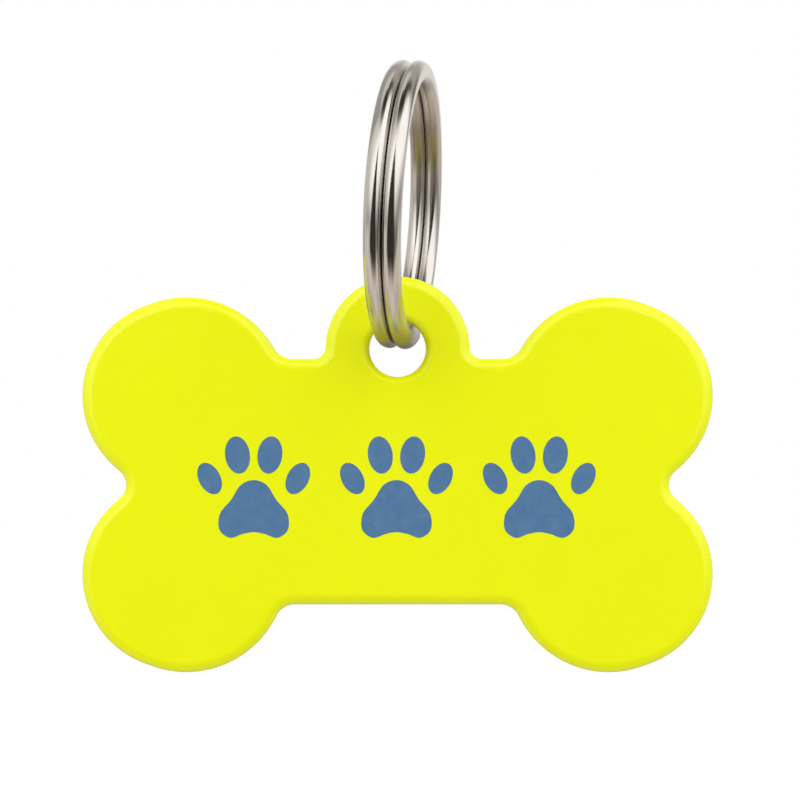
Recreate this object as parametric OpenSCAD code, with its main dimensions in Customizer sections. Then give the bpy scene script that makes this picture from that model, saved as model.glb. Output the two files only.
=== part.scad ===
// Bone-shaped pet id tag that hangs from a double-turn split ring. Millimetres, +Z up.
// The tag's front face looks along -Y. The origin is the point at the top inside of the
// ring that rests on whatever holds it, such as a collar's D-ring.

/* [Tag plate] */
// Width across the lobes
bone_w = 40; // [36:0.5:60]
// Height across the lobes
bone_h = 23.8; // [22.6:0.2:25]
// Rise of the bar's upper edge above the middle
bar_rise = 8; // [7:0.1:8.5]
// Drop of the bar's lower edge below the middle
bar_drop = 7.6; // [6.5:0.1:8.5]
// Thickness of the plate
plate_t = 1.5; // [1.2:0.1:1.9]
// Rounding of the front and back edges
edge_r = 0.5; // [0.2:0.05:0.55]
// Radius of a lobe on the side of the bar
lobe_r = 6.34; // [6.2:0.02:6.8]
// Radius of a lobe at its outer end
tip_r = 6.04; // [5.8:0.02:6.2]
// Distance between the centres of a lobe's two radii
tip_shift = 0.58; // [0.5:0.02:0.9]
// Direction of the outer centre from the inner one, from the horizontal
tip_angle = 11; // [0:1:30]
// Fillet where a lobe runs into the bar
neck_r = 1.35; // [0.8:0.05:1.6]
// Fillet in the waist, between the two lobes of an end
waist_r = 1.1; // [0.8:0.05:1.4]

/* [Lug and hole] */
// Radius of the lug round the hole
lug_r = 4.57; // [4.2:0.01:5.2]
// Rise of the hole's centre above the plate's middle
lug_rise = 8.64; // [8.2:0.02:9.6]
// Fillet where the lug runs into the bar
lug_fillet_r = 0.78; // [0.5:0.02:1]
// Radius of the hole that the ring passes through
hole_r = 1.79; // [1.7:0.01:2.2]

/* [Split ring] */
// Outer radius of the ring
ring_r = 8.85; // [8.5:0.05:12]
// Depth of the wire, measured towards the ring's centre
wire_depth = 1.3; // [1.1:0.05:1.5]
// Width of the wire, measured along the ring's axis
wire_w = 1.04; // [0.8:0.02:1.06]
// Gap between the two turns of wire
turn_gap = 0.07; // [0.04:0.01:0.12]
// Gap between a free end of the wire and the crossover beside it
end_gap = 0.3; // [0.1:0.05:0.6]
// Length of the crossover, where the wire steps from one turn to the other
crossover_l = 3.7; // [3:0.1:6]
// Place of the crossover's start, as an angle round the ring from its lowest point
crossover_angle = 23; // [20:1:60]

/* [How the ring hangs] */
// Turn of the ring about the vertical
ring_yaw = -8.9; // [-15:0.1:15]
// Tilt of the ring to one side
ring_roll = 4.4; // [0:0.1:8]
// Place of the tag, as an angle round the ring from its lowest point
hang_angle = 9.8; // [0:0.1:15]
// Distance of the wire's middle from the middle of the hole
seat_offset = 0.18; // [0:0.01:0.25]
// Clearance between the ring and the top of the hole
seat_gap = 0.16; // [0.12:0.01:0.3]

/* [Hidden] */
$fn = 96;
overrun = 1;
// Steps in a quarter of the rounded edge
edge_steps = 5;

// How far a fillet sinks into its two neighbours, and how deep its web reaches behind it
bite = 0.02;
web_share = 1.6;
web_w = web_share * plate_t;

// Centres of the plate's discs, for the upper right quarter
lobe_c = [bone_w / 2 - tip_r - tip_shift * cos(tip_angle), bone_h / 2 - lobe_r];
tip_c = lobe_c + tip_shift * [cos(tip_angle), sin(tip_angle)];
lug_c = [0, lug_rise];

// Centres of the fillets, each outside the plate and next to two of its edges
waist_c = [lobe_c.x + sqrt((lobe_r + waist_r - bite) ^ 2 - lobe_c.y ^ 2), 0];
function beside(disc_c, disc_r, fillet_r, edge, side) =
    let (y = edge + fillet_r - bite, reach = disc_r + fillet_r - bite)
        [disc_c.x + side * sqrt(reach ^ 2 - (y - disc_c.y) ^ 2), y];
lug_fillet_c = beside(lug_c, lug_r, lug_fillet_r, bar_rise, 1);
function neck_c(edge) = beside(lobe_c, lobe_r, neck_r, edge, -1);

// Angle of the line from one point to another, from 0 to 360
function bearing(from, to) = (atan2(to.y - from.y, to.x - from.x) + 360) % 360;
function arc_points(centre, r, a, b, steps) =
    [for (i = [0 : steps]) let (t = a + (b - a) * i / steps) centre + r * [cos(t), sin(t)]];

// The rounded edge in section: x points out of the plate to the edge, y goes from back to front
half_t = plate_t / 2;
function edge_points(x, out = 1) = concat(
    [for (p = arc_points([0, edge_r - half_t], edge_r, -90, 0, edge_steps)) [x + out * (p.x - edge_r), p.y]],
    [for (p = arc_points([0, half_t - edge_r], edge_r, 0, 90, edge_steps)) [x + out * (p.x - edge_r), p.y]]
);

// The ring's wire: the middle of a turn, the step between turns and the angles of the crossover
wire_r = wire_w / 2;
wire_flat = wire_depth - wire_w;
inner_r = ring_r - wire_depth;
mid_r = ring_r - wire_depth / 2;
turn_step = wire_w + turn_gap;
crossover_sweep = crossover_l / mid_r * 180 / PI;
end_angle = end_gap / mid_r * 180 / PI;

// Height in the hole at which the rounded corners of the two turns clear its arc
seat_room = hole_r - seat_gap - wire_r;
seat_rise = wire_r + sqrt(seat_room ^ 2 - (seat_offset + turn_step / 2) ^ 2);

// A direction or place of the ring, turned as the ring hangs
function yawed(v) = [v.x * cos(ring_yaw) - v.y * sin(ring_yaw), v.x * sin(ring_yaw) + v.y * cos(ring_yaw), v.z];
function rolled(v) = [v.x * cos(ring_roll) + v.z * sin(ring_roll), v.y, v.z * cos(ring_roll) - v.x * sin(ring_roll)];
function as_hung(v) = rolled(yawed(v));

// Places in the plate's own frame: the seat in the hole, the ring's centre and the origin
seat = [seat_offset, 0, lug_rise + seat_rise];
ring_c = seat - inner_r * as_hung([0, sin(hang_angle), -cos(hang_angle)]);
hang_point = ring_c + inner_r * as_hung([0, 0, 1]);

// A round piece of plate
module disc(centre, r) {
    translate(centre) rotate_extrude()
        polygon(concat([[0, -half_t]], edge_points(r), [[0, half_t]]));
}

// The web of a fillet: plate that fills the corner up to an arc about a centre off the plate
module web(centre, r, from, to) {
    outside = r + web_w;
    translate(centre) rotate_extrude(start = from, angle = to - from)
        polygon(concat([[outside, -half_t]], edge_points(r, -1), [[outside, half_t]]));
}

// The straight bar between the lobes, with its upper and lower edges rounded
module bar() {
    lower_edge = edge_points(-bar_drop, -1);
    translate([-lobe_c.x, 0, 0]) rotate([90, 0, 90]) linear_extrude(2 * lobe_c.x)
        polygon(concat(edge_points(bar_rise), [for (i = [len(lower_edge) - 1 : -1 : 0]) lower_edge[i]]));
}

// One lobe in the upper right quarter, with the fillet that runs it into the bar
module lobe(edge) {
    disc(lobe_c, lobe_r);
    disc(tip_c, tip_r);
    web(neck_c(edge), neck_r, 270, bearing(neck_c(edge), lobe_c));
}

// What is cut out for the hole, with a rounded edge on both faces
module hole_cutter() {
    top = half_t + overrun;
    rim_x = hole_r + edge_r;
    translate(lug_c) rotate_extrude()
        polygon(concat([[0, -top], [rim_x, -top]], edge_points(hole_r, -1), [[rim_x, top], [0, top]]));
}

module tag_plate() {
    waist_end = bearing(waist_c, lobe_c);
    color([0.93, 0.95, 0.12]) translate(-hang_point) rotate([90, 0, 0])
        difference() {
            union() {
                bar();
                disc(lug_c, lug_r);
                for (side = [0, 1]) mirror([side, 0, 0]) {
                    web(lug_fillet_c, lug_fillet_r, bearing(lug_fillet_c, lug_c), 270);
                    lobe(bar_rise);
                    mirror([0, 1, 0]) lobe(bar_drop);
                    web(waist_c, waist_r, waist_end, 360 - waist_end);
                }
            }
            hole_cutter();
        }
}

// One turn of round-edged wire, cut square at both ends
module turn(side, from, to) {
    translate([0, 0, side * turn_step / 2]) rotate_extrude(start = from, angle = to - from)
        translate([mid_r, 0]) {
            square([wire_flat, wire_w], center = true);
            for (x = [-wire_flat / 2, wire_flat / 2]) translate([x, 0]) circle(wire_r);
        }
}

// The wire's crossover: its section is swept along a smooth step between the two turns
crossover_steps = 14;
section_steps = 8;
end_steps = 1;
crossover_fit_share = 0.98;
function smooth(t) = t <= 0 ? 0 : t >= 1 ? 1 : t * t * (3 - 2 * t);
section_points = concat(
    arc_points([wire_flat / 2, 0], wire_r, -90, 90, section_steps),
    arc_points([-wire_flat / 2, 0], wire_r, 90, 270, section_steps)
);
module crossover() {
    points = [
        for (i = [-end_steps : crossover_steps + end_steps])
            let (
                t = i / crossover_steps,
                a = crossover_angle + crossover_sweep * t,
                z = turn_step * (smooth(t) - 1 / 2)
            )
            for (p = section_points)
                let (q = crossover_fit_share * p)
                    [(mid_r + q.x) * cos(a), (mid_r + q.x) * sin(a), z + q.y]
    ];
    sides = len(section_points);
    rings = len(points) / sides;
    polyhedron(points, concat(
        [[for (j = [sides - 1 : -1 : 0]) j]],
        [[for (j = [0 : sides - 1]) (rings - 1) * sides + j]],
        [for (i = [0 : rings - 2], j = [0 : sides - 1])
            let (a = i * sides + j, b = i * sides + (j + 1) % sides)
                each [[a, b, b + sides], [a, b + sides, a + sides]]]
    ));
}

module split_ring() {
    crossover_end = crossover_angle + crossover_sweep;
    color([0.76, 0.74, 0.72]) translate(ring_c - hang_point)
        rotate([0, ring_roll, 0]) rotate([0, 0, ring_yaw]) rotate([0, 90, 0]) {
            turn(-1, crossover_end + end_angle, crossover_angle + 360);
            turn(1, crossover_end, crossover_angle + 360 - end_angle);
            crossover();
        }
}

tag_plate();
split_ring();
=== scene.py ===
import math

import bmesh
import bpy
from mathutils import Matrix, Vector
from mathutils.geometry import tessellate_polygon


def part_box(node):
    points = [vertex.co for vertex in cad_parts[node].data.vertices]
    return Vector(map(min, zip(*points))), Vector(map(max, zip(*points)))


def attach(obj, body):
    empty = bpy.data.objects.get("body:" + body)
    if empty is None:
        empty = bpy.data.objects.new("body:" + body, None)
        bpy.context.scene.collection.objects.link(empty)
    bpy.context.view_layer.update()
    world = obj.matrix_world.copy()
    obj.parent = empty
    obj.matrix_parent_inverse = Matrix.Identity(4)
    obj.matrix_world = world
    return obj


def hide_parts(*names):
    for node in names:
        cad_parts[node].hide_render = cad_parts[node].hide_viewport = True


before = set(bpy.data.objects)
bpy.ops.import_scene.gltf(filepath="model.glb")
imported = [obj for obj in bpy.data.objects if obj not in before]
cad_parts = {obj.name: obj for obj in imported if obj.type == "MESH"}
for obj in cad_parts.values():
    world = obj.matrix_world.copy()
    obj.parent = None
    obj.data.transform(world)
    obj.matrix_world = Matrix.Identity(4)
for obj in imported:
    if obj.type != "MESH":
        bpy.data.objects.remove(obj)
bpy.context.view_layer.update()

MM = 0.001

# Camera, as measured on the photograph: it looks along +Y, level, past the middle of the tag.
IMAGE_PX = 800
PX_PER_MM = 15.7
CAMERA_TO_TAG_MM = 72.96
TAG_MID_PX = (397.6, 484.4)
SENSOR_MM = 36.0
CLIP_NEAR_M, CLIP_FAR_M = 0.001, 10.0

# The plate's sizes, as in the part's source, in millimetres and degrees. BITE is how far a fillet sinks into its
# neighbours.
BONE_W, BONE_H = 40.0, 23.8
BAR_RISE, BAR_DROP = 8.0, 7.6
PLATE_T, EDGE_R = 1.5, 0.5
LOBE_R, TIP_R, TIP_SHIFT, TIP_ANGLE = 6.34, 6.04, 0.58, 11.0
BITE = 0.02
NECK_R, WAIST_R, LUG_FILLET_R = 1.35 - BITE, 1.1 - BITE, 0.78 - BITE
LUG_R, LUG_RISE, HOLE_R = 4.57, 8.64, 1.79

# The ring's sizes, as in the part's source, in millimetres and degrees.
RING_R, WIRE_DEPTH, WIRE_W, TURN_GAP, END_GAP = 8.85, 1.3, 1.04, 0.07, 0.3
CROSSOVER_L, CROSSOVER_ANGLE = 3.7, 23.0
RING_YAW, RING_ROLL = -8.9, 4.4

# The drawn model stays this far inside the solids' own surface, in millimetres.
INSET = 0.003


# ---------------------------------------------------------------- camera

tag_lo, tag_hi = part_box("tag_plate")
TAG_MID = Vector(((tag_lo[0] + tag_hi[0]) / 2, (tag_lo[1] + tag_hi[1]) / 2, tag_lo[2] + BONE_H / 2 * MM))


def make_camera():
    data = bpy.data.cameras.new("camera")
    data.sensor_width = SENSOR_MM
    data.lens = SENSOR_MM * PX_PER_MM * CAMERA_TO_TAG_MM / IMAGE_PX
    data.clip_start, data.clip_end = CLIP_NEAR_M, CLIP_FAR_M
    camera = bpy.data.objects.new("camera", data)
    image_mid = IMAGE_PX / 2
    camera.location = TAG_MID + MM * Vector((
        (image_mid - TAG_MID_PX[0]) / PX_PER_MM,
        -CAMERA_TO_TAG_MM,
        (TAG_MID_PX[1] - image_mid) / PX_PER_MM,
    ))
    camera.rotation_euler = (math.pi / 2, 0, 0)
    bpy.context.scene.collection.objects.link(camera)
    bpy.context.scene.camera = camera


make_camera()


# ---------------------------------------------------------------- mesh helpers


def add_object(name, mesh):
    obj = bpy.data.objects.new(name, mesh)
    bpy.context.scene.collection.objects.link(obj)
    return obj


def new_mesh(name, points, faces, smooth=True):
    mesh = bpy.data.meshes.new(name)
    mesh.from_pydata([tuple(p) for p in points], [], faces)
    mesh.validate()
    for polygon in mesh.polygons:
        polygon.use_smooth = smooth
    mesh.update()
    return mesh


def face_outwards(mesh):
    bm = bmesh.new()
    bm.from_mesh(mesh)
    bmesh.ops.recalc_face_normals(bm, faces=bm.faces)
    bm.to_mesh(mesh)
    bm.free()


def smooth_step(t):
    t = min(1.0, max(0.0, t))
    return t * t * (3 - 2 * t)


def direction(azimuth, elevation):
    """Unit vector towards an azimuth and elevation in degrees. Azimuth 0 is towards the camera, 90 to the right."""
    a, e = math.radians(azimuth), math.radians(elevation)
    return Vector((math.sin(a) * math.cos(e), -math.cos(a) * math.cos(e), math.sin(e)))


# ---------------------------------------------------------------- the plate's outline


def polar(centre, r, degrees):
    a = math.radians(degrees)
    return Vector((centre[0] + r * math.cos(a), centre[1] + r * math.sin(a)))


def bearing(a, b):
    return math.degrees(math.atan2(b[1] - a[1], b[0] - a[0])) % 360


def beside(disc_c, disc_r, fillet_r, edge, side):
    """Centre of a fillet that touches a disc and a level edge."""
    y = edge + fillet_r
    reach = disc_r + fillet_r
    return (disc_c[0] + side * math.sqrt(reach ** 2 - (y - disc_c[1]) ** 2), y)


def right_half():
    """Arcs of the plate's right half, anticlockwise from the middle of its lower edge.

    Each is its centre, radius, start angle, end angle, and 1 where it bulges outwards or -1 where it is a fillet.
    """
    tip = math.radians(TIP_ANGLE)
    lobe = (BONE_W / 2 - TIP_R - TIP_SHIFT * math.cos(tip), BONE_H / 2 - LOBE_R)
    end = (lobe[0] + TIP_SHIFT * math.cos(tip), lobe[1] + TIP_SHIFT * math.sin(tip))
    spread = math.degrees(math.acos((LOBE_R - TIP_R) / TIP_SHIFT))
    waist = (lobe[0] + math.sqrt((LOBE_R + WAIST_R) ** 2 - lobe[1] ** 2), 0.0)
    waist_turn = math.degrees(math.asin(lobe[1] / (LOBE_R + WAIST_R)))
    lug = (0.0, LUG_RISE)
    lug_fillet = beside(lug, LUG_R, LUG_FILLET_R, BAR_RISE, 1)

    def lobe_arcs(edge):
        neck = beside(lobe, LOBE_R, NECK_R, edge, -1)
        return [
            (lobe, LOBE_R, -waist_turn, TIP_ANGLE - spread, 1),
            (end, TIP_R, TIP_ANGLE - spread, TIP_ANGLE + spread, 1),
            (lobe, LOBE_R, TIP_ANGLE + spread, bearing(lobe, neck), 1),
            (neck, NECK_R, bearing(neck, lobe), 270, -1),
        ]

    lower = [((c[0], -c[1]), r, -b, -a, bulge) for c, r, a, b, bulge in reversed(lobe_arcs(BAR_DROP))]
    return [
        *lower,
        (waist, WAIST_R, 180 + waist_turn, 180 - waist_turn, -1),
        *lobe_arcs(BAR_RISE),
        (lug_fillet, LUG_FILLET_R, 270, bearing(lug_fillet, lug), -1),
        (lug, LUG_R, bearing(lug, lug_fillet), 90, 1),
    ]


def mirrored(arcs):
    return [((-c[0], c[1]), r, 180 - b, 180 - a, bulge) for c, r, a, b, bulge in reversed(arcs)]


ARC_STEP_MM = 0.16
ARC_STEP_DEG = 5.0
SAME_POINT_MM = ARC_STEP_MM / 20


def sampled(arcs):
    """Points of a closed outline with their outward normals, each as a pair."""
    found = []
    for centre, r, a, b, bulge in arcs:
        length = abs(math.radians(b - a)) * r
        steps = max(1, math.ceil(length / ARC_STEP_MM), math.ceil(abs(b - a) / ARC_STEP_DEG))
        for i in range(steps + 1):
            t = a + (b - a) * i / steps
            point, normal = polar(centre, r, t), bulge * polar((0, 0), 1, t)
            if found and (found[-1][0] - point).length < SAME_POINT_MM:
                continue
            found.append((point, normal))
    if (found[0][0] - found[-1][0]).length < SAME_POINT_MM:
        found.pop()
    return found


half = right_half()
OUTLINE = sampled(half + mirrored(half))
HOLE = sampled([((0.0, LUG_RISE), HOLE_R, 360, 0, -1)])


# ---------------------------------------------------------------- the plate

# The coat rolls off softly over these distances to the outline and to the hole, in EDGE_STEPS steps on each side.
# FACE_ROWS are rows of points further in, which keep the shading of the face flat. Distances are in millimetres.
ROLL_OFF, HOLE_ROLL_OFF = 0.8, 0.5
FACE_ROWS = (0.3, 0.08)
EDGE_STEPS = 10


def edge_profile(roll_off):
    """The plate's rounded edge, as rows from the front face to the back.

    Each is how far in from the outline it lies, how far back, and how far its normal has turned from straight ahead
    to straight back.
    """
    half_t = PLATE_T / 2 - INSET
    front = [(roll_off + further, -half_t, 0.0) for further in FACE_ROWS]
    for i in range(EDGE_STEPS + 1):
        t = math.pi / 2 * i / EDGE_STEPS
        turn = math.atan2(EDGE_R * math.sin(t), roll_off * math.cos(t))
        front.append((roll_off * (1 - math.sin(t)), -half_t + EDGE_R * (1 - math.cos(t)), turn))
    return front + [(x, -y, math.pi - turn) for x, y, turn in reversed(front)]


def add_wall(points, normals, faces, loop, roll_off):
    """Adds the edge that follows a loop. Returns the index of its first point and the number of points in a row."""
    start, n = len(points), len(loop)
    profile = edge_profile(roll_off)
    for inward, depth, turn in profile:
        for p, outward in loop:
            p = p - (inward + INSET) * outward
            points.append(TAG_MID + MM * Vector((p.x, depth, p.y)))
            side = math.sin(turn) * outward
            normals.append((side.x, -math.cos(turn), side.y))
    for i in range(len(profile) - 1):
        a, b = start + i * n, start + (i + 1) * n
        for j in range(n):
            k = (j + 1) % n
            faces.append((a + j, a + k, b + k, b + j))
    return start, n


def flat_faces(points, walls):
    """Triangles of the front, between the walls' first rows, and of the back, between their last rows."""
    faces = []
    for row in (0, len(edge_profile(ROLL_OFF)) - 1):
        rims = [[start + row * n + j for j in range(n)] for start, n in walls]
        index = [i for rim in rims for i in rim]
        flat = [[Vector((points[i].x, points[i].z, 0)) / MM for i in rim] for rim in rims]
        faces += [tuple(index[v] for v in triangle) for triangle in tessellate_polygon(flat)]
    return faces


def make_plate():
    points, normals, faces = [], [], []
    walls = [
        add_wall(points, normals, faces, OUTLINE, ROLL_OFF),
        add_wall(points, normals, faces, HOLE, HOLE_ROLL_OFF),
    ]
    mesh = new_mesh("tag_body", points, faces + flat_faces(points, walls))
    face_outwards(mesh)
    mesh.normals_split_custom_set_from_vertices(normals)
    plate = add_object("tag_body", mesh)
    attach(plate, "tag")
    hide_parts("tag_plate")
    return plate


plate = make_plate()


# ---------------------------------------------------------------- the print

# Three plain paw prints in the middle of the front, all in millimetres. The pad's right side is given from the
# middle of its top to the middle of its bottom. A toe is its centre, half width, half height and lean in degrees.
PRINT_MID = (-0.07, -0.29)
PAW_PITCH = 9.0
PAW_PAD = [
    (0.0, 0.62), (0.82, 0.3), (1.42, -0.62), (2.12, -1.5),
    (2.16, -2.5), (1.5, -3.02), (0.7, -2.78), (0.0, -2.66),
]
PAW_TOES = [(1.02, 2.2, 0.78, 1.18, -8), (2.78, 0.72, 0.68, 1.06, -28)]
INK_RISE, INK_DEPTH = 0.012, 0.04


def smooth_loop(corners, steps=6):
    """Points of a smooth closed curve through the corners."""
    found, n = [], len(corners)
    for i in range(n):
        a, b, c, d = (Vector(corners[(i + k) % n]) for k in (-1, 0, 1, 2))
        for j in range(steps):
            t = j / steps
            found.append(0.5 * (2 * b + (c - a) * t + (2 * a - 5 * b + 4 * c - d) * t ** 2
                                + (3 * b - a - 3 * c + d) * t ** 3))
    return found


def toe_loop(x, y, half_w, half_h, lean, steps=36):
    turn = Matrix.Rotation(math.radians(lean), 2)
    spots = [math.radians(360 * i / steps) for i in range(steps)]
    return [Vector((x, y)) + turn @ Vector((half_w * math.cos(a), half_h * math.sin(a))) for a in spots]


def paw_loops():
    pad = smooth_loop(PAW_PAD + [(-x, y) for x, y in reversed(PAW_PAD[1:-1])])
    toes = [toe_loop(*toe) for toe in PAW_TOES]
    return [pad, *toes, *([Vector((-p.x, p.y)) for p in toe] for toe in toes)]


def add_patch(points, faces, loop, shift):
    """Adds a thin slab of ink with the loop's outline, moved sideways by shift."""
    start, n = len(points), len(loop)
    for depth in (-INK_RISE, INK_DEPTH):
        for p in loop:
            x, z = PRINT_MID[0] + shift + p.x, PRINT_MID[1] + p.y
            points.append(TAG_MID + MM * Vector((x, depth - PLATE_T / 2, z)))
    for i in range(n):
        k = (i + 1) % n
        faces.append((start + i, start + k, start + n + k, start + n + i))
    faces += [tuple(range(start, start + n)), tuple(range(start + n, start + 2 * n))]


def make_print():
    points, faces = [], []
    for side in (-1, 0, 1):
        for loop in paw_loops():
            add_patch(points, faces, loop, side * PAW_PITCH)
    mesh = new_mesh("tag_print", points, faces, smooth=False)
    face_outwards(mesh)
    ink = add_object("tag_print", mesh)
    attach(ink, "tag")
    return ink


ink = make_print()


# ---------------------------------------------------------------- the ring

yaw, roll = math.radians(RING_YAW), math.radians(RING_ROLL)
AS_HUNG = Matrix.Rotation(roll, 3, "Y") @ Matrix.Rotation(yaw, 3, "Z")
RING_AXIS, RING_BACK, RING_UP = (AS_HUNG @ Vector(v) for v in ((1, 0, 0), (0, 1, 0), (0, 0, 1)))
RING_MID = (RING_R - WIRE_DEPTH) * MM * -RING_UP

# The drawn turns all but touch, as the real ones do. Their crowns lean towards the groove between them.
DRAWN_GAP = 0.006
DRAWN_W = (2 * WIRE_W + TURN_GAP - DRAWN_GAP) / 2
TURN_STEP = DRAWN_W + DRAWN_GAP
CROWN_SHIFT = 0.08
MID_R = RING_R - WIRE_DEPTH / 2

# How finely the wire is drawn: steps round each half of its section, and degrees from row to row.
SECTION_STEPS = 20
TURN_PITCH, CROSSOVER_PITCH = 1.5, 0.6

# The wire's cut ends are a little rounded: millimetres from the end, and the section's scale there.
END_ROUNDING = [(0.0, 0.86), (0.05 / 3, 0.965), (0.05, 1.0)]


def wire_section(lean):
    """The wire's section: outward from the ring's centre, and along its axis. lean moves its crown that way."""
    r = WIRE_W / 2 - INSET
    w = DRAWN_W / 2 - INSET
    flat = (WIRE_DEPTH - WIRE_W) / 2
    crown = lean * CROWN_SHIFT
    half_turn = [math.pi * (i / SECTION_STEPS - 0.5) for i in range(SECTION_STEPS + 1)]
    side = [(r * math.cos(t), crown + math.sin(t) * (w - crown if t > 0 else w + crown)) for t in half_turn]
    return [(flat + x, y) for x, y in side] + [(-flat - x, y) for x, y in reversed(side)]


def wire_stations():
    """Places along the wire: degrees round the ring from its lowest point, and offset along the axis, from -0.5 on
    the first turn to 0.5 on the second."""
    sweep = math.degrees(CROSSOVER_L / MID_R)
    end = math.degrees(END_GAP / MID_R)
    first = CROSSOVER_ANGLE + sweep + end
    last = CROSSOVER_ANGLE + 720 - end
    cross = CROSSOVER_ANGLE + 360
    spans = [
        (first, cross, TURN_PITCH),
        (cross, cross + sweep, CROSSOVER_PITCH),
        (cross + sweep, last, TURN_PITCH),
    ]
    stations = []
    for a, b, pitch in spans:
        n = math.ceil((b - a) / pitch)
        for i in range(n + (b == last)):
            angle = a + (b - a) * i / n
            stations.append((angle, smooth_step((angle - cross) / sweep) - 0.5))
    return stations


def wire_rows():
    """The stations with the section's scale at each, and with more rows where the ends are rounded."""
    stations = wire_stations()
    (first, first_offset), (last, last_offset) = stations[0], stations[-1]
    rounding = [(math.degrees(distance / MID_R), scale) for distance, scale in END_ROUNDING]
    return [
        *((first + turn, first_offset, scale) for turn, scale in rounding),
        *((angle, offset, 1.0) for angle, offset in stations[1:-1]),
        *((last - turn, last_offset, scale) for turn, scale in reversed(rounding)),
    ]


def wire_points(rows):
    points = []
    for angle, offset, scale in rows:
        a = math.radians(angle)
        radial = -math.cos(a) * RING_UP + math.sin(a) * RING_BACK
        for x, y in wire_section(-2 * offset):
            outward, along_axis = MID_R + scale * x, TURN_STEP * offset + scale * y
            points.append(RING_MID + MM * (outward * radial + along_axis * RING_AXIS))
    return points


def wire_faces(row_count, sides):
    faces = []
    for i in range(row_count - 1):
        for j in range(sides):
            a, b = i * sides + j, i * sides + (j + 1) % sides
            faces.append((a, b, b + sides, a + sides))
    last_row = (row_count - 1) * sides
    return [*faces, tuple(reversed(range(sides))), tuple(range(last_row, last_row + sides))]


def unwrap_wire(mesh, rows, sides):
    """Lays the wire out flat, in millimetres along it and round it, and shades its cut ends flat."""
    along, around = MID_R * math.radians(1), math.pi * WIRE_W / sides
    uv = mesh.uv_layers.new(name="wire")
    for polygon in mesh.polygons:
        if len(polygon.vertices) > 4:
            polygon.use_smooth = False
        turned = {v % sides for v in polygon.vertices}
        seam = 0 in turned and sides - 1 in turned
        for loop in polygon.loop_indices:
            row, side = divmod(mesh.loops[loop].vertex_index, sides)
            side += sides if seam and side == 0 else 0
            uv.data[loop].uv = (rows[row][0] * along, side * around)


def make_ring():
    rows, sides = wire_rows(), len(wire_section(0))
    mesh = new_mesh("ring_wire", wire_points(rows), wire_faces(len(rows), sides))
    face_outwards(mesh)
    unwrap_wire(mesh, rows, sides)
    ring = add_object("ring_wire", mesh)
    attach(ring, "ring")
    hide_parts("split_ring")
    return ring


ring = make_ring()


# ---------------------------------------------------------------- materials


def srgb(*channels):
    """An sRGB colour from 0 to 255, as Blender's linear values."""
    shares = [c / 255 for c in channels]
    return (*[c / 12.92 if c <= 0.04045 else ((c + 0.055) / 1.055) ** 2.4 for c in shares], 1.0)


# A noise texture stays mostly between these values.
NOISE_LOW, NOISE_HIGH = 0.3, 0.7


class Nodes:
    """A material's node tree, with short calls for the nodes used here."""

    def __init__(self, name):
        self.material = bpy.data.materials.new(name)
        self.material.use_nodes = True
        self.tree = self.material.node_tree
        self.shader = self.tree.nodes["Principled BSDF"]

    def add(self, kind, inputs=(), **settings):
        node = self.tree.nodes.new(kind)
        for key, value in settings.items():
            setattr(node, key, value)
        for key, value in dict(inputs).items():
            self.feed(node.inputs[key], value)
        return node

    def feed(self, socket, value):
        if isinstance(value, bpy.types.NodeSocket):
            self.tree.links.new(value, socket)
        else:
            socket.default_value = value

    def link(self, output, socket):
        self.tree.links.new(output, self.shader.inputs[socket])

    def surface(self, output):
        self.tree.links.new(output, self.tree.nodes["Material Output"].inputs["Surface"])

    def place(self):
        return self.add("ShaderNodeTexCoord").outputs["Object"]

    def noise(self, vector, scale, detail=2.0, roughness=0.5):
        return self.add("ShaderNodeTexNoise", {
            "Vector": vector, "Scale": scale, "Detail": detail, "Roughness": roughness,
        }).outputs["Fac"]

    def spread(self, value, low, high):
        """A noise value stretched to run from low to high."""
        return self.add("ShaderNodeMapRange", {
            "Value": value, "From Min": NOISE_LOW, "From Max": NOISE_HIGH, "To Min": low, "To Max": high,
        }).outputs["Result"]

    def ramp(self, value, start, end):
        """0 at the start and beyond it, 1 at the end and beyond it, with a smooth step between them."""
        return self.add("ShaderNodeMapRange", {
            "Value": value, "From Min": start, "From Max": end,
        }, interpolation_type="SMOOTHSTEP").outputs["Result"]

    def math(self, operation, a, b):
        return self.add("ShaderNodeMath", {0: a, 1: b}, operation=operation).outputs[0]

    def mix(self, share, a, b, data_type="RGBA"):
        node = self.tree.nodes.new("ShaderNodeMix")
        node.data_type = data_type
        sockets = [s for s in node.inputs if s.enabled and s.name in ("Factor", "A", "B")]
        for socket, value in zip(sockets, (share, a, b)):
            self.feed(socket, value)
        return next(s for s in node.outputs if s.enabled)

    def mix_shaders(self, share, a, b):
        return self.add("ShaderNodeMixShader", {0: share, 1: a, 2: b}).outputs[0]

    def glow(self, colour, strength):
        return self.add("ShaderNodeEmission", {"Color": colour, "Strength": strength}).outputs[0]

    def bump(self, height, distance):
        node = self.add("ShaderNodeBump", {"Height": height, "Distance": distance})
        self.link(node.outputs["Normal"], "Normal")


# Each material varies between two tints and two roughnesses. The scales of its noises are in features to the metre.
COAT_TINTS, COAT_ROUGHNESS, COAT_IOR = (srgb(237, 242, 6), srgb(235, 241, 8)), (0.14, 0.18), 1.55
COAT_CLOUDS, COAT_POLISH, ORANGE_PEEL = 260, 900, 1500

INK_TINTS, INK_ROUGHNESS, INK_IOR = (srgb(72, 112, 156), srgb(86, 124, 160)), (0.3, 0.38), 1.5
INK_WEAR, INK_POLISH, INK_GRAIN = 1400, 3000, 4000

# Height of the orange peel and of the ink's grain, and of the streaks on the wire, in metres.
GRAIN_HEIGHT, STREAK_HEIGHT = 1.0e-6, 0.8e-6


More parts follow.
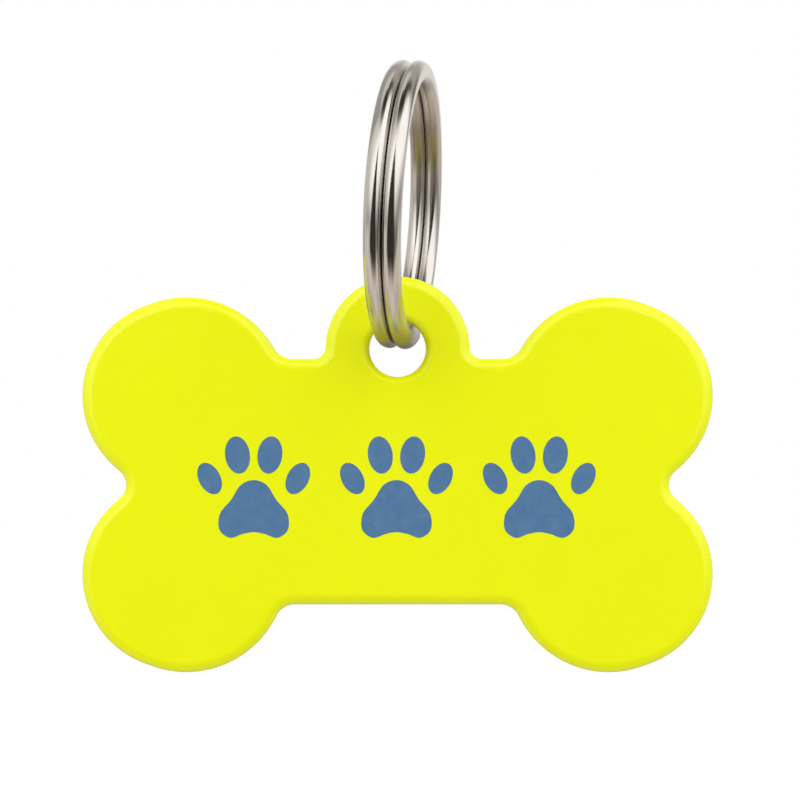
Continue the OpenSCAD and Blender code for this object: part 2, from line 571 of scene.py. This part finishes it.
def coat_material():
    """Smooth powder coat: satin, faintly mottled, with the slight orange peel of a baked coat."""
    nodes = Nodes("yellow_coat")
    place = nodes.place()
    cloudy = nodes.spread(nodes.noise(place, COAT_CLOUDS, detail=3), 0, 1)
    nodes.link(nodes.mix(cloudy, *COAT_TINTS), "Base Color")
    nodes.link(nodes.spread(nodes.noise(place, COAT_POLISH), *COAT_ROUGHNESS), "Roughness")
    nodes.shader.inputs["IOR"].default_value = COAT_IOR
    nodes.bump(nodes.noise(place, ORANGE_PEEL), GRAIN_HEIGHT)
    return nodes.material


def ink_material():
    """Pad-printed enamel: flat blue, a little thinner and paler in places, with a fine grain."""
    nodes = Nodes("blue_ink")
    place = nodes.place()
    worn = nodes.spread(nodes.noise(place, INK_WEAR, detail=4, roughness=0.65), 0, 1)
    nodes.link(nodes.mix(worn, *INK_TINTS), "Base Color")
    nodes.link(nodes.spread(nodes.noise(place, INK_POLISH), *INK_ROUGHNESS), "Roughness")
    nodes.shader.inputs["IOR"].default_value = INK_IOR
    nodes.bump(nodes.noise(place, INK_GRAIN), GRAIN_HEIGHT)
    return nodes.material


# The ring's polish, and its look where it is rubbed dull. The streaks' scale is along the wire and round it, in
# features to the millimetre.
NICKEL_TINTS = ((0.735, 0.7, 0.665, 1), (0.69, 0.655, 0.62, 1))
NICKEL_CLOUDS, STREAK_SCALE = 420, (0.35, 14.0, 1.0)
NICKEL_ROUGHNESS, RUBBED_ROUGHNESS = (0.09, 0.17), 0.26
RUBBED_METALLIC = 0.84

# Painted shade where the tag hangs, by height: the plating is painted a little darker, then rubbed dull, then
# painted darkest at the lowest end.
LOWER_SHADE_FROM, LOWER_SHADE_TO = RING_MID.z - 5.0 * MM, RING_MID.z - 6.5 * MM
RUBBED_FROM, RUBBED_TO = RING_MID.z - 6.5 * MM, RING_MID.z - 7.5 * MM
DARK_FROM, DARK_TO = RING_MID.z - 7.3 * MM, RING_MID.z - 8.6 * MM
LOWER_SHADE_TINT, BOTTOM_SHADE_TINT = (0.6, 0.565, 0.545, 1), (0.3, 0.245, 0.225, 1)

# Painted shade on the upper inside, which is also duller there, from the first pair of heights up. INSIDE and CROWN
# are distances from the ring's middle, LOW and HIGH heights. The painted shade is darkest at the crown, from LOW up
# to HIGH.
UPPER_INSIDE_FROM, UPPER_INSIDE_TO = RING_MID.z + 0.5 * MM, RING_MID.z + 4.0 * MM
INSIDE_FROM, INSIDE_TO = 8.15 * MM, 7.85 * MM
CROWN_FROM, CROWN_TO = 7.85 * MM, 7.62 * MM
LOW_FROM, LOW_TO = RING_MID.z + 3.0 * MM, RING_MID.z + 4.6 * MM
HIGH_FROM, HIGH_TO = RING_MID.z + 7.2 * MM, RING_MID.z + 5.8 * MM
INSIDE_SHADE_TINT, CROWN_SHADE_TINT = (0.63, 0.58, 0.53, 1), (0.3, 0.255, 0.215, 1)


def nickel_material():
    """Bright nickel plate on drawn wire: fine streaks run along the wire, and the polish varies a little."""
    nodes = Nodes("nickel_plate")
    wire = nodes.add("ShaderNodeUVMap", uv_map="wire").outputs["UV"]
    streaks = nodes.add("ShaderNodeMapping", {"Vector": wire, "Scale": STREAK_SCALE}).outputs["Vector"]
    drawn = nodes.noise(streaks, 1.0, detail=3, roughness=0.6)
    place = nodes.place()
    cloudy = nodes.spread(nodes.noise(place, NICKEL_CLOUDS), 0, 1)
    height = nodes.add("ShaderNodeSeparateXYZ", {0: place}).outputs["Z"]
    reach = nodes.add("ShaderNodeVectorMath", {0: place, 1: RING_MID}, operation="DISTANCE").outputs["Value"]

    lower_shade = nodes.ramp(height, LOWER_SHADE_FROM, LOWER_SHADE_TO)
    rubbed = nodes.ramp(height, RUBBED_FROM, RUBBED_TO)
    dark = nodes.ramp(height, DARK_FROM, DARK_TO)
    inside = nodes.ramp(reach, INSIDE_FROM, INSIDE_TO)
    upper_inside = nodes.math("MULTIPLY", nodes.ramp(height, UPPER_INSIDE_FROM, UPPER_INSIDE_TO), inside)
    band = nodes.math("MULTIPLY", nodes.ramp(height, LOW_FROM, LOW_TO), nodes.ramp(height, HIGH_FROM, HIGH_TO))
    crown = nodes.math("MULTIPLY", band, nodes.ramp(reach, CROWN_FROM, CROWN_TO))

    colour = nodes.mix(cloudy, *NICKEL_TINTS)
    # Painted shade: the base colour is darkened low down, darkest at the lowest end, and on the upper inside,
    # darkest at its crown.
    for share, tint in ((lower_shade, LOWER_SHADE_TINT), (dark, BOTTOM_SHADE_TINT), (upper_inside, INSIDE_SHADE_TINT), (crown, CROWN_SHADE_TINT)):
        colour = nodes.mix(share, colour, tint)
    nodes.link(colour, "Base Color")
    dull = nodes.math("MAXIMUM", rubbed, upper_inside)
    nodes.link(nodes.mix(dull, 1.0, RUBBED_METALLIC, "FLOAT"), "Metallic")
    polish = nodes.spread(drawn, *NICKEL_ROUGHNESS)
    nodes.link(nodes.mix(dull, polish, RUBBED_ROUGHNESS, "FLOAT"), "Roughness")
    nodes.bump(drawn, STREAK_HEIGHT)
    return nodes.material


plate.data.materials.append(coat_material())
ink.data.materials.append(ink_material())
ring.data.materials.append(nickel_material())


# ---------------------------------------------------------------- studio

WHITE = (1, 1, 1, 1)

# The floor lies this far below the tag. It is a matt grey to the light that falls on the object, and glows white
# where it is looked at, by FLOOR_SHARE of its surface. Beyond FADE_FROM it fades into the white around it.
FLOOR_HALF_SIDE, FLOOR_DROP = 3.0, 14 * MM
FLOOR_GREY, FLOOR_ROUGHNESS = (0.5, 0.5, 0.5, 1), 0.9
FLOOR_SHARE, FLOOR_GLOW = 0.6, 1.36
FADE_FROM, FADE_TO = 0.06, 0.2


def make_floor():
    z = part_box("tag_plate")[0][2] - FLOOR_DROP
    corners = ((-1, -1), (1, -1), (1, 1), (-1, 1))
    points = [(x * FLOOR_HALF_SIDE, y * FLOOR_HALF_SIDE, z) for x, y in corners]
    floor = add_object("floor", new_mesh("floor", points, [(0, 1, 2, 3)], smooth=False))
    floor.visible_glossy = False
    floor.data.materials.append(floor_material())


def floor_material():
    nodes = Nodes("pale_floor")
    nodes.shader.inputs["Base Color"].default_value = FLOOR_GREY
    nodes.shader.inputs["Roughness"].default_value = FLOOR_ROUGHNESS
    nodes.shader.inputs["Specular IOR Level"].default_value = 0.0
    path = nodes.add("ShaderNodeLightPath").outputs
    seen = nodes.math("MAXIMUM", path["Is Camera Ray"], path["Is Glossy Ray"])
    seen = nodes.math("MAXIMUM", seen, path["Is Transmission Ray"])
    share = nodes.math("MULTIPLY", seen, FLOOR_SHARE)
    both = nodes.mix_shaders(share, nodes.shader.outputs[0], nodes.glow(WHITE, FLOOR_GLOW))
    reach = nodes.add("ShaderNodeVectorMath", {0: nodes.place()}, operation="LENGTH").outputs["Value"]
    far = nodes.add("ShaderNodeMapRange", {"Value": reach, "From Min": FADE_FROM, "From Max": FADE_TO})
    away = nodes.math("MULTIPLY", far.outputs[0], path["Is Camera Ray"])
    nodes.surface(nodes.mix_shaders(away, both, nodes.add("ShaderNodeBsdfTransparent").outputs[0]))
    return nodes.material


def make_world(fill):
    """White where the camera, metal and glass look, and a level fill light for everything else."""
    world = bpy.data.worlds.new("studio")
    bpy.context.scene.world = world
    world.use_nodes = True
    tree = world.node_tree
    tree.nodes.clear()
    path = tree.nodes.new("ShaderNodeLightPath")
    seen = path.outputs["Is Camera Ray"]
    for name in ("Is Glossy Ray", "Is Transmission Ray"):
        either = tree.nodes.new("ShaderNodeMath")
        either.operation = "MAXIMUM"
        tree.links.new(seen, either.inputs[0])
        tree.links.new(path.outputs[name], either.inputs[1])
        seen = either.outputs[0]
    mix = tree.nodes.new("ShaderNodeMixShader")
    tree.links.new(seen, mix.inputs[0])
    for socket, strength in ((1, fill), (2, 1.0)):
        light = tree.nodes.new("ShaderNodeBackground")
        light.inputs["Color"].default_value = WHITE
        light.inputs["Strength"].default_value = strength
        tree.links.new(light.outputs[0], mix.inputs[socket])
    out = tree.nodes.new("ShaderNodeOutputWorld")
    tree.links.new(mix.outputs[0], out.inputs["Surface"])


# The studio that the nickel and the coat mirror. Each patch covers what was laid down before it: azimuth, half
# width, elevation, half height, softness, colour, and how many times wider it is at its top than at its foot.
STUDIO_BASE = (0.72, 0.688, 0.642)
STUDIO_PATCHES = [
    (0, 180, -90, 15, 6, (0.92, 0.84, 0.76), 1.0),
    (-80, 128, -61, 17, 3, (0.8, 0.725, 0.635), 1.35),
    (128, 25, 12, 32, 4, (0.84, 0.822, 0.785), 5.03),
    (-131, 10, 42, 21, 5, (0.412, 0.4, 0.384), 7.93),
    (106, 31, 47, 53, 27, (0.087, 0.076, 0.064), 1.44),
    (88, 58, -23, 16, 40, (0.196, 0.19, 0.182), 3.05),
    (118, 69, -27, 27, 12, (0.725, 0.675, 0.61), 0.28),
    (-175, 62, -53, 19, 5, (0.61, 0.555, 0.47), 1.53),
    (-1, 45, 14, 27, 40, (1.14, 1.14, 1.12), 1.47),
    (38, 89, 36, 27, 29, (1.36, 1.36, 1.34), 0.57),
    (-1, 16, 76, 23, 39, (0.041, 0.036, 0.028), 8.82),
    (138, 42, 57, 20, 27, (0.46, 0.437, 0.4), 0.18),
    (4, 42, -45, 17, 30, (0.04, 0.032, 0.024), 1.27),
    (-1, 49, -1, 39, 6, (0.04, 0.035, 0.028), 0.02),
]

# The dome's radius in metres, and degrees between its points.
DOME_R, DOME_STEP = 0.4, 3


def soft_mask(distance, half, soft):
    return smooth_step((half + soft / 2 - abs(distance)) / soft)


def studio_light(azimuth, elevation):
    light = Vector(STUDIO_BASE)
    for az, half_w, el, half_h, soft, colour, top in STUDIO_PATCHES:
        rise = min(1.0, max(0.0, (elevation - el + half_h) / (2 * half_h)))
        width = half_w * (1 + (top - 1) * rise)
        turn = (azimuth - az + 180) % 360 - 180
        share = soft_mask(turn, width, soft) * soft_mask(elevation - el, half_h, soft)
        light = light.lerp(Vector(colour), share)
    return light


def make_dome():
    """Backdrop that only reflections see."""
    across = 360 // DOME_STEP
    rows = 180 // DOME_STEP
    spots = [(j * DOME_STEP, i * DOME_STEP - 90) for i in range(rows + 1) for j in range(across)]
    faces = []
    for i in range(rows):
        for j in range(across):
            a, b = i * across + j, i * across + (j + 1) % across
            faces.append((a, b, b + across, a + across))
    mesh = bpy.data.meshes.new("reflected_studio")
    mesh.from_pydata([RING_MID + DOME_R * direction(*spot) for spot in spots], [], faces)
    tint = mesh.color_attributes.new("studio", "FLOAT_COLOR", "POINT")
    for item, spot in zip(tint.data, spots):
        item.color = (*studio_light(*spot), 1.0)
    dome = add_object("reflected_studio", mesh)
    dome.visible_camera = dome.visible_diffuse = dome.visible_shadow = False
    dome.visible_volume_scatter = False
    nodes = Nodes("reflected_studio")
    seen = nodes.add("ShaderNodeVertexColor", layer_name="studio")
    nodes.surface(nodes.glow(seen.outputs["Color"], 1.0))
    nodes.material.cycles.emission_sampling = "NONE"
    mesh.materials.append(nodes.material)


# The lamps are soft squares, this far from the tag and this wide, in metres. Each is its name, azimuth, elevation
# and level: its share of a white world's light on a face turned to it.
LAMP_DISTANCE, LAMP_SIDE = 0.4, 0.5
LAMPS = [
    ("left_light", -50, 32, 0.6),
    ("right_light", 50, 32, 0.6),
    ("rear_light", 180, 38, 0.42),
]
WORLD_FILL = 0.66


def make_lamp(name, azimuth, elevation, level):
    """A lamp that lights the object but isn't mirrored in it."""
    out = direction(azimuth, elevation)
    data = bpy.data.lights.new(name, "AREA")
    data.size = LAMP_SIDE
    data.energy = level * math.pi * math.pi * LAMP_DISTANCE ** 2
    lamp = bpy.data.objects.new(name, data)
    lamp.location = TAG_MID + LAMP_DISTANCE * out
    lamp.rotation_mode = "QUATERNION"
    lamp.rotation_quaternion = out.to_track_quat("Z", "Y")
    lamp.visible_glossy = lamp.visible_camera = False
    bpy.context.scene.collection.objects.link(lamp)


make_world(WORLD_FILL)
make_floor()
make_dome()
for lamp in LAMPS:
    make_lamp(*lamp)
bpy.context.scene.view_settings.view_transform = "Standard"
